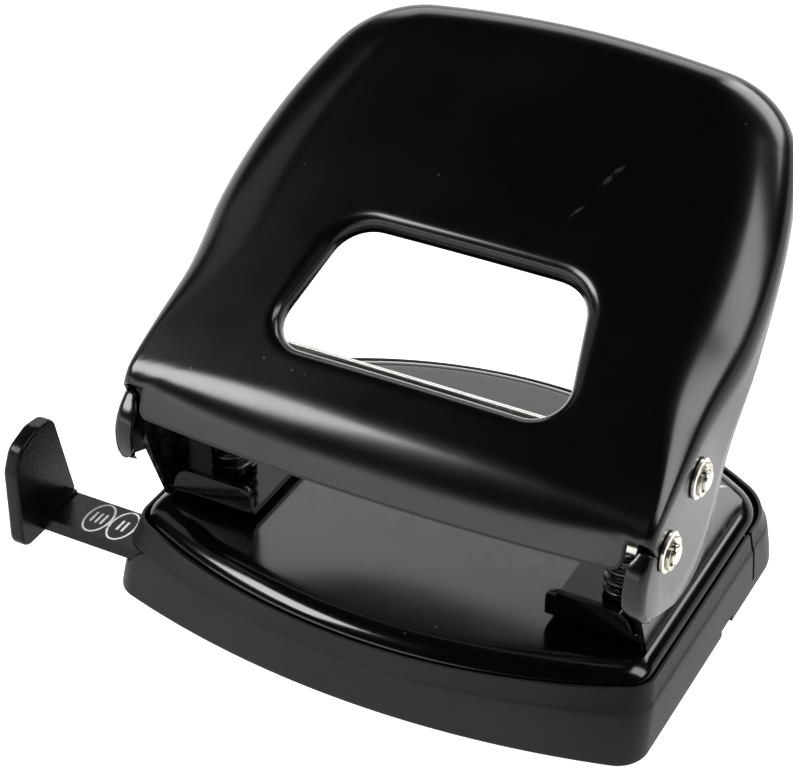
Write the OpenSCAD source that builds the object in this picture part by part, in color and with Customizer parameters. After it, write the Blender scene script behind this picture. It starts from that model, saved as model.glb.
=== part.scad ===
// Two-hole desk punch: pressed-steel base and lever on a plastic chip tray.
// X runs along the punch and pivot axes, Y runs from the paper side to the
// free end of the lever, Z is up. The origin is on the desk, midway between
// the two punches, so both punch axes cross the plane Y = 0.

/* [Tray] */
// Half width of the tray at the desk
tray_half_w = 53.1; // [50:0.1:56]
// Front edge of the tray at the desk
tray_front = -31.5; // [-34:0.1:-30]
// Rear edge of the tray at the desk
tray_rear = 60.5; // [58:0.1:66]
// Height of the tray rim
tray_h = 9.4; // [8:0.1:10]
// Thickness of the tray walls
tray_wall = 1.5; // [1:0.1:1.6]
// Thickness of the tray floor
tray_floor = 1.8; // [1.2:0.1:2.4]

/* [Base] */
// Half width of the base skirt
base_half_w = 50.9; // [48:0.1:51.2]
// Front edge of the base
base_front = -28.4; // [-29:0.1:-26]
// Rear edge of the base
base_rear = 57.2; // [54:0.1:57.4]
// Height of the base deck above the desk
deck_z = 14.8; // [14:0.1:15.2]
// Sheet thickness of the base
base_t = 1.5; // [1.2:0.1:2]

/* [Punching] */
// Distance between the two punch axes
hole_pitch = 80; // [78:0.5:82]
// Diameter of a punch
punch_d = 6; // [5:0.1:6.5]
// Radial clearance of a punch in its bores
punch_gap = 0.05; // [0.02:0.01:0.1]
// Height of the paper slot
slot_h = 1.4; // [1:0.1:2]
// Distance from the punch axes to the paper stop
stop_y = 12; // [10:0.5:14]

/* [Lever] */
// Angle of the lever's top face above the desk at rest
lever_angle = 31; // [29:0.5:32]
// Length of the lever's top face behind the drive rod
lever_reach = 77; // [70:0.5:80]
// Sheet thickness of the lever
lever_t = 1.2; // [1:0.1:1.4]
// Diameter of the pivot axle and the drive rod
rod_d = 5; // [4:0.1:5.4]
// Diameter of the washers at the rod ends
rod_washer_d = 8.6; // [8:0.1:9.5]

/* [Spring] */
// Outer diameter of a return spring
spring_d = 8.6; // [8:0.1:9.4]

/* [Guide] */
// Width of the paper guide bar
guide_w = 9.6; // [8:0.1:9.8]
// Thickness of the paper guide bar
guide_t = 2.8; // [2:0.1:3]
// Length of the paper guide bar
guide_len = 94; // [80:1:96]

/* [Hidden] */
$fn = 64;
tiny = 0.01;
arc_steps = 14;

// Pivot and drive rod centres, as [Y, Z]
pivot = [-12.4, 39.3];
rod = [0, 46.2];
// The lever's own frame: its top face is the plane n = 0, v runs up the slope
lever_origin = [-3, 51.5];

punch_x = hole_pitch / 2;
bracket_t = 1.2;
bracket_x = 48.6;
bracket_z = deck_z + slot_h;
bracket_inner_x = 29.5;
tab_top = 22.3;
tab_y = -11.6;

lever_half_w = 52;
lever_front_half_w = 51.2;
lever_wide_v = 22;
lever_side_r = 112;
lever_end_r = 250;
lever_corner_r = 20;
lip_half_w = 46.6;
rod_fit = 0.05;
washer_t = 0.8;
clip_t = 0.6;
clip_d = 7.4;
end_gap = 0.1;
clip_x = lever_front_half_w + end_gap + washer_t;
rod_half_len = clip_x + clip_t + 0.7;

punch_top = rod[1] - rod_d / 2 - 0.15;
punch_tip = bracket_z + 0.3;
head_d = 8;
head_h = 2.2;
punch_washer_d = 9.4;
punch_washer_t = 0.8;
spring_top = punch_top - head_h - punch_washer_t;
spring_foot = bracket_z + bracket_t;
spring_bore = punch_d + 0.6;

guide_top = 8.5;
guide_y = -16.4;
guide_stop_x = -70;
guide_stop_t = 3.4;
rail_x = [-27, 4];
rail_wall = 1;
rail_gap = 0.35;
rail_ear = 5;
under_deck = deck_z - base_t;
rivet_d = 3;
rivet_head_d = 5.4;
rivet_head_h = 0.9;
rivet_spots = [[34.5, 16], [43, 16], [34.5, 21], [43, 21]];
hinge_y = base_rear - 5.8;
hinge_z = tray_h + 1.1;
hinge_x = 14;
hinge_pin_d = 2;

// One quarter of an outline that bows out by `bow` at its middle and turns into
// a straight side at x = w with a fillet of radius r. Each point is [x, depth].
function quarter(w, bow, r) =
  let (
    big = (w * w + bow * bow) / (2 * bow),
    cx = w - r,
    cd = big - sqrt(pow(big - r, 2) - cx * cx),
    turn = atan2(cx, big - cd)
  )
  concat(
    [for (i = [0:arc_steps]) let (t = turn * i / arc_steps) [big * sin(t), big - big * cos(t)]],
    [for (i = [1:arc_steps]) let (t = turn + (90 - turn) * i / arc_steps) [cx + r * sin(t), cd - r * cos(t)]]
  );

// Where two circles meet, on the right of the way from a to b
function meet(a, ra, b, rb) =
  let (
    d = norm(b - a),
    along = (d * d + ra * ra - rb * rb) / (2 * d),
    off = sqrt(ra * ra - along * along),
    u = (b - a) / d
  )
  a + along * u + off * [u[1], -u[0]];

// Points on a circle between two angles
function arc(c, r, a0, a1, n) = [for (i = [0:n]) let (t = a0 + (a1 - a0) * i / n) c + r * [cos(t), sin(t)]];

// The fillet of radius r that rounds the corner b between a and c
function fillet(a, b, c, r) =
  let (
    u = (a - b) / norm(a - b),
    w = (c - b) / norm(c - b),
    half = acos(u * w) / 2,
    m = b + (u + w) / norm(u + w) * r / sin(half),
    s = b + u * r / tan(half) - m,
    e = b + w * r / tan(half) - m,
    a0 = atan2(s[1], s[0]),
    turn = atan2(e[1], e[0]) - a0,
    sweep = turn > 180 ? turn - 360 : turn < -180 ? turn + 360 : turn
  )
  arc(m, r, a0, a0 + sweep, 6);

// A polygon with every corner rounded, one radius for each corner
function rounded(pts, radii) =
  let (n = len(pts))
  [for (i = [0:n - 1]) each fillet(pts[(i + n - 1) % n], pts[i], pts[(i + 1) % n], radii[i])];

// The points of a list from last to first
function reversed(list) = [for (i = [len(list) - 1:-1:0]) list[i]];

// A closed outline from its front quarter and its rear quarter
function outline(front, front_y, back, back_y) =
  concat(
    [for (p = front) [p[0], front_y + p[1]]],
    [for (p = reversed(back)) [p[0], back_y - p[1]]],
    [for (p = back) if (p[0] > 0) [-p[0], back_y - p[1]]],
    [for (p = reversed(front)) if (p[0] > 0) [-p[0], front_y + p[1]]]
  );

// The tray's plan at the share s of its height, drawn in by `inset`
function tray_plan(s, inset) =
  outline(
    quarter(tray_half_w - 0.9 * s - inset, 8.2 + 4.6 * s, 6.2 - inset), tray_front + 1.3 * s + inset,
    quarter(tray_half_w - 0.9 * s - inset, 15 + 2 * s, 13 - inset), tray_rear - 1.3 * s - inset
  );

// The base's plan, drawn in by `inset`
function base_plan(inset) =
  outline(
    quarter(base_half_w - inset, 12.6, 6 - inset / 2), base_front + inset,
    quarter(base_half_w - inset, 17, 12 - inset / 2), base_rear - inset
  );

// Lays a [Y, Z] outline across the object, from x0 to x1
module across(x0, x1) {
  translate([x0, 0, 0]) rotate([90, 0, 90]) linear_extrude(x1 - x0) children();
}

// A round bar along X, centred on [Y, Z]
module bar_x(at, d, x0, x1) {
  across(x0, x1) translate(at) circle(d = d);
}

// The child and its mirror image on the other side
module both_sides() {
  children();
  mirror([1, 0, 0]) children();
}

// Puts the lever's own frame into the object's frame
module on_lever() {
  translate([0, lever_origin[0], lever_origin[1]]) rotate([lever_angle, 0, 0]) children();
}

// ---- Tray -------------------------------------------------------------------

tray_layers = 4;

module tray_stack(inset, z0) {
  for (i = [0:tray_layers - 1])
    translate([0, 0, max(z0, i * tray_h / tray_layers)])
      linear_extrude((i + 1) * tray_h / tray_layers - max(z0, i * tray_h / tray_layers) + (z0 > 0 ? tiny : 0))
        polygon(tray_plan((i + 0.5) / tray_layers, inset));
}

// Rear lug that carries a hinge pin
module tray_lug() {
  head_d = 3.8;
  lug_x = [hinge_x - 3, hinge_x - 1];
  difference() {
    union() {
      bar_x([hinge_y, hinge_z], head_d, lug_x[0], lug_x[1]);
      translate([lug_x[0], hinge_y - head_d / 2, tray_floor - tiny])
        cube([lug_x[1] - lug_x[0], head_d / 2 + 0.2, hinge_z - tray_floor]);
    }
    bar_x([hinge_y, hinge_z], hinge_pin_d, hinge_x - 6, hinge_x + 2);
  }
}

// Rib that locates the base's front skirt from inside
module front_rib() {
  rib = [7, 1.2, deck_z - 3.4 - tray_floor];
  translate([8, base_front + base_t + 1.6, tray_floor - tiny]) cube(rib);
}

module chip_tray() {
  guide_gap = 0.4;
  slit_y = 31;
  grip_y = [15.7, 21];
  color([0.09, 0.09, 0.09]) {
    difference() {
      tray_stack(0, 0);
      tray_stack(tray_wall, tray_floor);
      translate([-60, guide_y - guide_w / 2 - guide_gap, guide_top - guide_t - guide_gap])
        cube([20, guide_w + 2 * guide_gap, 10]);
      both_sides() translate([45, slit_y, tray_floor]) cube([15, 0.9, 20]);
      both_sides() translate([tray_half_w - 0.8, grip_y[0], -1]) cube([5, grip_y[1] - grip_y[0], 3]);
    }
    both_sides() tray_lug();
    both_sides() front_rib();
  }
}

module hinge_pins() {
  color("silver") both_sides() bar_x([hinge_y, hinge_z], hinge_pin_d, hinge_x - 4.2, hinge_x + 2.2);
}

// ---- Base -------------------------------------------------------------------

// Rounded shoulder of the base: [height below the deck, inset of the outside]
shoulder = [[5, 0], [2.9, 0.25], [1.9, 0.8], [1.1, 1.6], [0.5, 2.8], [0, 4.2]];

module base_stack(inset, drop) {
  for (i = [0:len(shoulder) - 2])
    translate([0, 0, deck_z - shoulder[i][0] - drop])
      linear_extrude(shoulder[i][0] - shoulder[i + 1][0] + (i < len(shoulder) - 2 ? tiny : 0))
        polygon(base_plan(shoulder[i][1] + inset));
}

module base_plate() {
  die_d = punch_d + 2 * punch_gap;
  color([0.05, 0.05, 0.055]) {
    difference() {
      base_stack(0, 0);
      base_stack(base_t, base_t);
      translate([0, 0, deck_z - shoulder[0][0] - base_t - 1]) linear_extrude(base_t + 1 + tiny) polygon(base_plan(base_t));
      both_sides() translate([punch_x, 0, 0]) cylinder(h = 40, d = die_d);
      both_sides() rivet_holes();
    }
    both_sides() base_knuckle();
  }
}

// Rolled ear under the deck that turns on a hinge pin
module base_knuckle() {
  ear_d = 3.6;
  difference() {
    union() {
      bar_x([hinge_y, hinge_z], ear_d, hinge_x - 0.6, hinge_x + 1.6);
      translate([hinge_x - 0.6, hinge_y - 1.2, hinge_z]) cube([2.2, 2.4, under_deck + tiny - hinge_z]);
    }
    bar_x([hinge_y, hinge_z], hinge_pin_d + 2 * rod_fit, hinge_x - 2, hinge_x + 3);
  }
}

module rivet_holes() {
  for (p = rivet_spots) translate([p[0], p[1], 0]) cylinder(h = 40, d = rivet_d);
}

// ---- Brackets ---------------------------------------------------------------

// Side of the bracket, as [Y, Z]
bracket_side = [
  [-10.5, bracket_z], [-16.9, 30.2], [-17.6, 33], [-17.8, 39.3], [-7, 39.3], [-5, 35.4], [8, 34.6],
  [17, 31.5], [24.5, 27], [30, 21.6], [33.2, bracket_z + 2], [34, bracket_z]
];

module bracket() {
  ear_r = 4;
  foot_z = deck_z + tiny;
  step_y = stop_y;
  color([0.05, 0.05, 0.055])
    difference() {
      union() {
        // side wall with the pivot ear
        across(bracket_x - bracket_t, bracket_x) {
          polygon(bracket_side);
          translate(pivot) circle(r = ear_r);
        }
        // punch plate over the paper slot, and the foot behind the paper stop
        translate([bracket_inner_x, tab_y, bracket_z])
          cube([bracket_x - bracket_inner_x - tiny, step_y + bracket_t - tab_y, bracket_t]);
        translate([bracket_inner_x, step_y, foot_z])
          cube([bracket_x - bracket_inner_x - tiny, bracket_t, bracket_z + bracket_t - foot_z]);
        translate([bracket_inner_x, step_y, foot_z])
          cube([bracket_x - bracket_inner_x - tiny, 12.5, bracket_t]);
        // upturned front tab
        translate([0, tab_y + bracket_t, 0]) rotate([90, 0, 0]) linear_extrude(bracket_t)
          polygon([
            [bracket_inner_x, bracket_z], [bracket_x - tiny, bracket_z], [bracket_x - tiny, tab_top - 3.6],
            [bracket_x - 1.2, tab_top - 1.4], [bracket_x - 3.4, tab_top], [bracket_inner_x + 1.6, tab_top],
            [bracket_inner_x, tab_top - 1.6]
          ]);
      }
      translate([punch_x, 0, 0]) cylinder(h = 40, d = punch_d + 2 * punch_gap);
      bar_x(pivot, rod_d, 0, 60);
      rivet_holes();
    }
}

module bracket_left() { mirror([1, 0, 0]) bracket(); }
module bracket_right() { bracket(); }

// A flat-headed rivet standing on the plane z = top, going down by `grip`
module rivet(top, grip, d, head_d, head_h) {
  translate([0, 0, top]) cylinder(h = head_h, d1 = head_d, d2 = head_d * 0.7);
  translate([0, 0, top - grip]) cylinder(h = grip + tiny, d = d);
  translate([0, 0, top - grip - head_h]) cylinder(h = head_h + tiny, d1 = head_d * 0.8, d2 = head_d);
}

module bracket_rivets() {
  color("dimgray")
    both_sides()
      for (p = rivet_spots)
        translate([p[0], p[1], 0])
          rivet(deck_z + bracket_t + tiny, bracket_t + base_t + tiny, rivet_d, rivet_head_d, rivet_head_h);
}

// ---- Punches ----------------------------------------------------------------

module punch() {
  color([0.6, 0.6, 0.6])
    translate([punch_x, 0, 0])
      difference() {
        union() {
          translate([0, 0, punch_tip]) cylinder(h = punch_top - punch_tip, d = punch_d);
          translate([0, 0, punch_top - head_h]) cylinder(h = head_h, d = head_d);
        }
        // hollow-ground cutting edge
        translate([0, 0, punch_tip - 1]) cylinder(h = 1.8, d1 = punch_d, d2 = tiny * 10);
      }
}

module punch_left() { mirror([1, 0, 0]) punch(); }
module punch_right() { punch(); }

module spring() {
  color([0.12, 0.12, 0.12])
    translate([punch_x, 0, spring_foot])
      difference() {
        cylinder(h = spring_top - spring_foot, d = spring_d);
        translate([0, 0, -1]) cylinder(h = 60, d = spring_bore);
      }
}

module spring_left() { mirror([1, 0, 0]) spring(); }
module spring_right() { spring(); }

module spring_washer() {
  color("silver")
    translate([punch_x, 0, spring_top])
      difference() {
        cylinder(h = punch_washer_t, d = punch_washer_d);
        translate([0, 0, -1]) cylinder(h = 4, d = punch_d + 0.1);
      }
}

module spring_washer_left() { mirror([1, 0, 0]) spring_washer(); }
module spring_washer_right() { spring_washer(); }

// ---- Pins -------------------------------------------------------------------

// A rod across the object with a clip groove near each end
module grooved_rod(at) {
  groove_d = rod_d - 1.2;
  color([0.75, 0.75, 0.73])
    difference() {
      bar_x(at, rod_d, -rod_half_len, rod_half_len);
      both_sides()
        difference() {
          bar_x(at, rod_d + 1, clip_x, clip_x + clip_t + end_gap);
          bar_x(at, groove_d, clip_x - 1, clip_x + clip_t + 1);
        }
    }
}

module end_washers(at) {
  color([0.8, 0.8, 0.78])
    both_sides()
      difference() {
        bar_x(at, rod_washer_d, clip_x - washer_t, clip_x);
        bar_x(at, rod_d + 2 * rod_fit, clip_x - 3, clip_x + 3);
      }
}

// Spring clips with an open mouth that snap into the grooves
module end_clips(at) {
  color([0.7, 0.7, 0.68])
    both_sides()
      difference() {
        bar_x(at, clip_d, clip_x + tiny, clip_x + clip_t);
        bar_x(at, rod_d - 1.1, clip_x - 1, clip_x + 2);
        across(clip_x - 1, clip_x + 2) translate([at[0] - 1.3, at[1] - 6]) square([2.6, 6]);
      }
}

module pivot_axle() { grooved_rod(pivot); }
module pivot_washers() { end_washers(pivot); }
module pivot_clips() { end_clips(pivot); }
module drive_rod() { grooved_rod(rod); }
module rod_washers() { end_washers(rod); }
module rod_clips() { end_clips(rod); }

// ---- Handle -----------------------------------------------------------------

// The lever's plan in its own frame, drawn in by `inset`: gently barrelled
// sides that turn through large fillets into the bowed free end.
function lever_plan(inset, front_v) =
  let (
    side_c = [lever_half_w - lever_side_r, lever_wide_v],
    end_c = [0, lever_reach - lever_end_r],
    corner = meet(end_c, lever_end_r - lever_corner_r, side_c, lever_side_r - lever_corner_r),
    a_side = atan2(corner[1] - side_c[1], corner[0] - side_c[0]),
    a_end = atan2(corner[1] - end_c[1], corner[0] - end_c[0]),
    half = concat(
      [[lever_front_half_w - inset, front_v], [lever_front_half_w - inset, 5.4]],
      arc(side_c, lever_side_r - inset, 0, a_side, 10),
      arc(corner, lever_corner_r - inset, a_side, a_end, 14),
      arc(end_c, lever_end_r - inset, a_end, 90, 6)
    )
  )
  concat(half, [for (p = reversed(half)) if (p[0] > tiny) [-p[0], p[1]]]);

// Side view of the lever in its own frame, as [v, n]
lever_side = [
  [-17.3, 0], [-20.6, -2.6], [-23.2, -6.4], [-25.1, -9.4], [-25.2, -11.6], [-24.2, -13.9],
  [-19.5, -20.5], [-14, -25], [-8.5, -27.2], [-4, -26.9], [0.5, -24.8], [5.1, -20.8], [12, -15.2],
  [19.5, -10.4], [26.5, -7.2], [34, -5.4], [44, -4.4], [58, -3.9], [90, -3.8], [90, 0]
];

module window(inset) {
  low = [29.4 - inset, -1.4 + inset];
  high = [24.4 - inset, 26.4 - inset];
  polygon(rounded([[-low[0], low[1]], low, high, [-high[0], high[1]]], [6, 6, 6, 6]));
}

// Front lip, bent forward and down, as [Y, Z]
lip_side = [[-17, 43.6], [-18.6, 43.9], [-20.4, 42.2], [-22.9, 38.6], [-21.9, 37.9], [-19.8, 41], [-17.4, 42.2]];

module handle() {
  depth = 30;
  color([0.04, 0.04, 0.045])
    difference() {
      union() {
        on_lever()
          intersection() {
            difference() {
              translate([0, 0, -depth]) linear_extrude(depth) polygon(lever_plan(0, -28));
              translate([0, 0, -depth - 1]) linear_extrude(depth + 1 - lever_t) polygon(lever_plan(lever_t, -29));
              translate([0, 0, -lever_t - 1]) linear_extrude(lever_t + 2) window(0);
            }
            across(-60, 60) polygon(lever_side);
          }
        // rolled rim that hangs round the window
        on_lever()
          translate([0, 0, -2.6]) linear_extrude(2.6 - tiny)
            difference() {
              window(-0.9);
              window(0);
            }
        across(-lip_half_w, lip_half_w) polygon(lip_side);
        // inward flanges on the front edges of the two side walls
        both_sides()
          across(47.2, lever_front_half_w - 0.2)
            polygon([[-19.2, 43], [-20.3, 33], [-20.3, 31], [-19.1, 31], [-19.1, 33], [-18, 43]]);
      }
      bar_x(pivot, rod_d + 2 * rod_fit, -70, 70);
      bar_x(rod, rod_d, -70, 70);
    }
}

// ---- Paper guide ------------------------------------------------------------

// Channel welded under the deck, which the guide bar slides through
module guide_rail() {
  low = guide_top - guide_t - rail_gap - rail_wall;
  half = guide_w / 2 + rail_gap;
  run = rail_x[1] - rail_x[0];
  color("gray") {
    for (y = [guide_y - half - rail_wall, guide_y + half])
      translate([rail_x[0], y, low]) cube([run, rail_wall, under_deck - low]);
    translate([rail_x[0], guide_y - half - tiny, low]) cube([run, 2 * (half + tiny), rail_wall]);
    for (x = [rail_x[0] - rail_ear, rail_x[1] - tiny])
      translate([x, guide_y - half + 1, under_deck - rail_wall]) cube([rail_ear + tiny, 2 * half - 1, rail_wall]);
    for (x = [rail_x[0] - tiny, rail_x[1] - rail_wall])
      translate([x, guide_y - half - tiny, under_deck - rail_wall])
        cube([rail_wall + tiny, 2 * (half + tiny), rail_wall]);
  }
}

// Leaf spring between the deck and the guide bar, as [X, Z]
module guide_spring() {
  t = 0.4;
  z0 = under_deck - t;
  z1 = guide_top + 0.08;
  color("silver")
    translate([0, guide_y + 2.5, 0]) rotate([90, 0, 0]) linear_extrude(5)
      polygon([
        [-26, z0], [-21, z0], [-17, z1], [-14.5, z1], [-11, z1 + 2], [-11, z1 + 2 + t], [-14.7, z1 + t],
        [-16.7, z1 + t], [-20.7, under_deck], [-26, under_deck]
      ]);
}

module paper_guide() {
  color([0.07, 0.07, 0.07])
    translate([guide_stop_x, guide_y - guide_w / 2, guide_top - guide_t])
      cube([guide_len, guide_w, guide_t]);
}

// End plate of the guide, as [Y, Z], with a socket for the bar
module guide_stop() {
  front = -27.2;
  back = -9.4;
  low = 4.6;
  color([0.07, 0.07, 0.07])
    across(guide_stop_x - guide_stop_t, guide_stop_x) {
      polygon(rounded(
        [[front, low], [back - 4, low], [back, low + 2.6], [-14.6, 27.6], [-20, 28.4], [front, 20]],
        [3, 2, 1.5, 2.4, 6, 5]
      ));
    }
}

chip_tray();
base_plate();
bracket_left();
bracket_right();
bracket_rivets();
punch_left();
punch_right();
spring_left();
spring_right();
spring_washer_left();
spring_washer_right();
pivot_axle();
pivot_washers();
pivot_clips();
drive_rod();
rod_washers();
rod_clips();
handle();
guide_rail();
guide_spring();
paper_guide();
guide_stop();
hinge_pins();
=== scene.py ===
import math

import bmesh
import bpy
from mathutils import Matrix, Vector


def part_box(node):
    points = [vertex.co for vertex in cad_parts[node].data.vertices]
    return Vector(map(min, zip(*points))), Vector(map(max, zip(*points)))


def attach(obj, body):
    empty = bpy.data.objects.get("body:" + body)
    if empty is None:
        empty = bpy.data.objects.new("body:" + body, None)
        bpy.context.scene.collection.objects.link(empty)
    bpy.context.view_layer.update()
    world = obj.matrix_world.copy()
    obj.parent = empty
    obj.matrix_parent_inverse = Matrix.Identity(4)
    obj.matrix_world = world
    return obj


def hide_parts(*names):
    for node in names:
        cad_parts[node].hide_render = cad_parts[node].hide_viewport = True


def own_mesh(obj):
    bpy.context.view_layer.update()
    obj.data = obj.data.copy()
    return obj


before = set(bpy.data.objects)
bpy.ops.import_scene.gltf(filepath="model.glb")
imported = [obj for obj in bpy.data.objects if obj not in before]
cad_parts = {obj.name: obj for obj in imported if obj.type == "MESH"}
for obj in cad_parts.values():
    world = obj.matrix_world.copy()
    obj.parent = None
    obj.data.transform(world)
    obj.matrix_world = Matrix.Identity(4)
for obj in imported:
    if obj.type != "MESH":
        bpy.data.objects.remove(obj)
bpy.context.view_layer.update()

# Lengths are in millimetres until a mesh is made. X runs along the punch line, Y towards the
# free end of the handle, Z is up, and the origin is on the desk midway between the punches.
MM = 0.001


def box_mm(node):
    """The lowest and the highest corner of a CAD node, in millimetres."""
    low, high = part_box(node)
    return low / MM, high / MM


TRAY_LOW, TRAY_HIGH = box_mm("chip_tray")
BASE_LOW, BASE_HIGH = box_mm("base_plate")
BRACKET_LOW, BRACKET_HIGH = box_mm("bracket_right")
PIVOT_LOW, PIVOT_HIGH = box_mm("pivot_axle")
ROD_LOW, ROD_HIGH = box_mm("drive_rod")
GUIDE_LOW, GUIDE_HIGH = box_mm("paper_guide")
STOP_LOW, STOP_HIGH = box_mm("guide_stop")
SPRING_LOW, SPRING_HIGH = box_mm("spring_right")
HINGE_LOW, HINGE_HIGH = box_mm("hinge_pins")


# ---- Small geometry helpers ------------------------------------------------

# Sides of a turned piece
TURNED_STEPS = 56


def smoothstep(t):
    """A smooth rise from 0 to 1 as t goes from 0 to 1."""
    t = min(1.0, max(0.0, t))
    return t * t * (3 - 2 * t)


def spline(points, steps):
    """Points on a smooth curve through the given points, `steps` of them for each span."""
    path = []
    for i in range(len(points) - 1):
        p1, p2 = Vector(points[i]), Vector(points[i + 1])
        p0 = Vector(points[i - 1]) if i else p1 * 2 - p2
        p3 = Vector(points[i + 2]) if i + 2 < len(points) else p2 * 2 - p1
        for k in range(steps):
            t = k / steps
            path.append(
                0.5 * ((2 * p1) + (p2 - p0) * t + (2 * p0 - 5 * p1 + 4 * p2 - p3) * t ** 2
                       + (3 * p1 - p0 - 3 * p2 + p3) * t ** 3)
            )
    path.append(Vector(points[-1]))
    return path


def curve_value(points, at):
    """The height of a smooth curve through (position, height) points at one position."""
    inside = min(max(at, points[0][0]), points[-1][0])
    i = max(k for k in range(len(points) - 1) if points[k][0] <= inside)

    def slope(k):
        a, b = points[max(k - 1, 0)], points[min(k + 1, len(points) - 1)]
        return (b[1] - a[1]) / (b[0] - a[0])

    (x0, y0), (x1, y1) = points[i], points[i + 1]
    span = x1 - x0
    t = (inside - x0) / span
    return (
        (2 * t ** 3 - 3 * t ** 2 + 1) * y0 + (t ** 3 - 2 * t ** 2 + t) * span * slope(i)
        + (3 * t ** 2 - 2 * t ** 3) * y1 + (t ** 3 - t ** 2) * span * slope(i + 1)
    )


def rounded(points, radii, steps=7):
    """A closed outline with every corner rounded, one radius for each corner."""
    out = []
    count = len(points)
    for i in range(count):
        a, b, c = (Vector(points[(i + k) % count]) for k in (-1, 0, 1))
        u, w = (a - b).normalized(), (c - b).normalized()
        half = math.acos(max(-1.0, min(1.0, u.dot(w)))) / 2
        middle = b + (u + w).normalized() * radii[i] / math.sin(half)
        start = b + u * radii[i] / math.tan(half) - middle
        end = b + w * radii[i] / math.tan(half) - middle
        a0 = math.atan2(start.y, start.x)
        turn = math.atan2(end.y, end.x) - a0
        turn -= 2 * math.pi * round(turn / (2 * math.pi))
        for k in range(steps + 1):
            angle = a0 + turn * k / steps
            out.append(middle + Vector((math.cos(angle), math.sin(angle))) * radii[i])
    return out


def quarter(half_w, bow, corner_r, steps=26):
    """A quarter of a bowed outline, as (x, depth) from its middle round to its straight side."""
    big = (half_w ** 2 + bow ** 2) / (2 * bow)
    corner_x = half_w - corner_r
    corner_depth = big - math.sqrt((big - corner_r) ** 2 - corner_x ** 2)
    turn = math.atan2(corner_x, big - corner_depth)
    points = []
    for k in range(steps + 1):
        t = turn * k / steps
        points.append((big * math.sin(t), big - big * math.cos(t)))
    for k in range(1, steps + 1):
        t = turn + (math.pi / 2 - turn) * k / steps
        points.append((corner_x + corner_r * math.sin(t), corner_depth - corner_r * math.cos(t)))
    return points


def plan(front, back, z):
    """A closed ring at height z, from front = (half width, y, bow, corner radius) and back alike."""
    half_w, front_y, front_bow, front_r = front
    _, back_y, back_bow, back_r = back
    right = [(x, front_y + d) for x, d in quarter(half_w, front_bow, front_r)]
    right += [(x, back_y - d) for x, d in reversed(quarter(half_w, back_bow, back_r))]
    left = [(-x, y) for x, y in reversed(right[1:-1])]
    return [(x, y, z) for x, y in right + left]


def loft(rings, closed=True, caps=(True, True)):
    """(vertices, faces) of quads between rings of points, with flat ends if wanted."""
    count = len(rings[0])
    verts = [tuple(p) for ring in rings for p in ring]
    faces = []
    for k in range(len(rings) - 1):
        for i in range(count if closed else count - 1):
            j = (i + 1) % count
            faces.append((k * count + i, k * count + j, (k + 1) * count + j, (k + 1) * count + i))
    if caps[0]:
        faces.append(tuple(reversed(range(count))))
    if caps[1]:
        faces.append(tuple(range((len(rings) - 1) * count, len(rings) * count)))
    return verts, faces


def prism(outline, low, high, axis):
    """(vertices, faces) of a flat outline drawn out along X, Y or Z."""
    place = {
        "x": lambda p, h: (h, p[0], p[1]),
        "y": lambda p, h: (p[0], h, p[1]),
        "z": lambda p, h: (p[0], p[1], h),
    }[axis]
    return loft([[place(p, low) for p in outline], [place(p, high) for p in outline]])


def block(low, high):
    """(vertices, faces) of a box between two corners."""
    (x0, y0, z0), (x1, y1, z1) = low, high
    return prism([(x0, y0), (x1, y0), (x1, y1), (x0, y1)], z0, z1, "z")


def circle(at, radius, steps=48):
    """A round outline about a point."""
    angles = [2 * math.pi * k / steps for k in range(steps)]
    return [(at[0] + radius * math.cos(a), at[1] + radius * math.sin(a)) for a in angles]


def turned(profile, at, steps=TURNED_STEPS):
    """(vertices, faces) of a profile of (x, radius) turned about a line along X through (y, z)."""
    return loft([[(x, y, z) for y, z in circle(at, radius, steps)] for x, radius in profile])


def mirrored(shape):
    """The mirror image of (vertices, faces) on the other side of the plane X = 0."""
    verts, faces = shape
    return [(-x, y, z) for x, y, z in verts], [tuple(reversed(f)) for f in faces]


def joined(*shapes):
    """Several (vertices, faces) as one."""
    verts, faces = [], []
    for v, f in shapes:
        shift = len(verts)
        verts += v
        faces += [tuple(i + shift for i in face) for face in f]
    return verts, faces


# ---- Making pieces ---------------------------------------------------------


def placed(name, data):
    """A new object in the scene that holds a mesh, a light or a camera."""
    obj = bpy.data.objects.new(name, data)
    bpy.context.scene.collection.objects.link(obj)
    return obj


def raw_object(name, shape):
    """A mesh object from (vertices, faces) in millimetres, with its faces turned outward."""
    verts, faces = shape
    mesh = bpy.data.meshes.new(name)
    mesh.from_pydata([[c * MM for c in v] for v in verts], [], faces)
    obj = placed(name, mesh)
    shaped = bmesh.new()
    shaped.from_mesh(mesh)
    bmesh.ops.remove_doubles(shaped, verts=shaped.verts, dist=1e-6)
    bmesh.ops.recalc_face_normals(shaped, faces=shaped.faces)
    shaped.to_mesh(mesh)
    shaped.free()
    return obj


def settle(obj):
    """Applies every modifier of a piece to its mesh."""
    depsgraph = bpy.context.evaluated_depsgraph_get()
    mesh = bpy.data.meshes.new_from_object(obj.evaluated_get(depsgraph))
    obj.modifiers.clear()
    obj.data = mesh


def combine(obj, shape, operation):
    """Cuts a closed shape out of a piece, or adds it."""
    tool = raw_object("tool", shape)
    step = obj.modifiers.new("step", "BOOLEAN")
    step.operation = operation
    step.solver = "EXACT"
    step.object = tool
    settle(obj)
    bpy.data.objects.remove(tool)


def soften(obj, width, segments=2, angle=50, clamp=True):
    """Rounds the sharp edges of a piece by a width in millimetres."""
    bevel = obj.modifiers.new("edges", "BEVEL")
    bevel.width = width * MM
    bevel.segments = segments
    bevel.limit_method = "ANGLE"
    bevel.angle_limit = math.radians(angle)
    bevel.use_clamp_overlap = clamp


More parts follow.
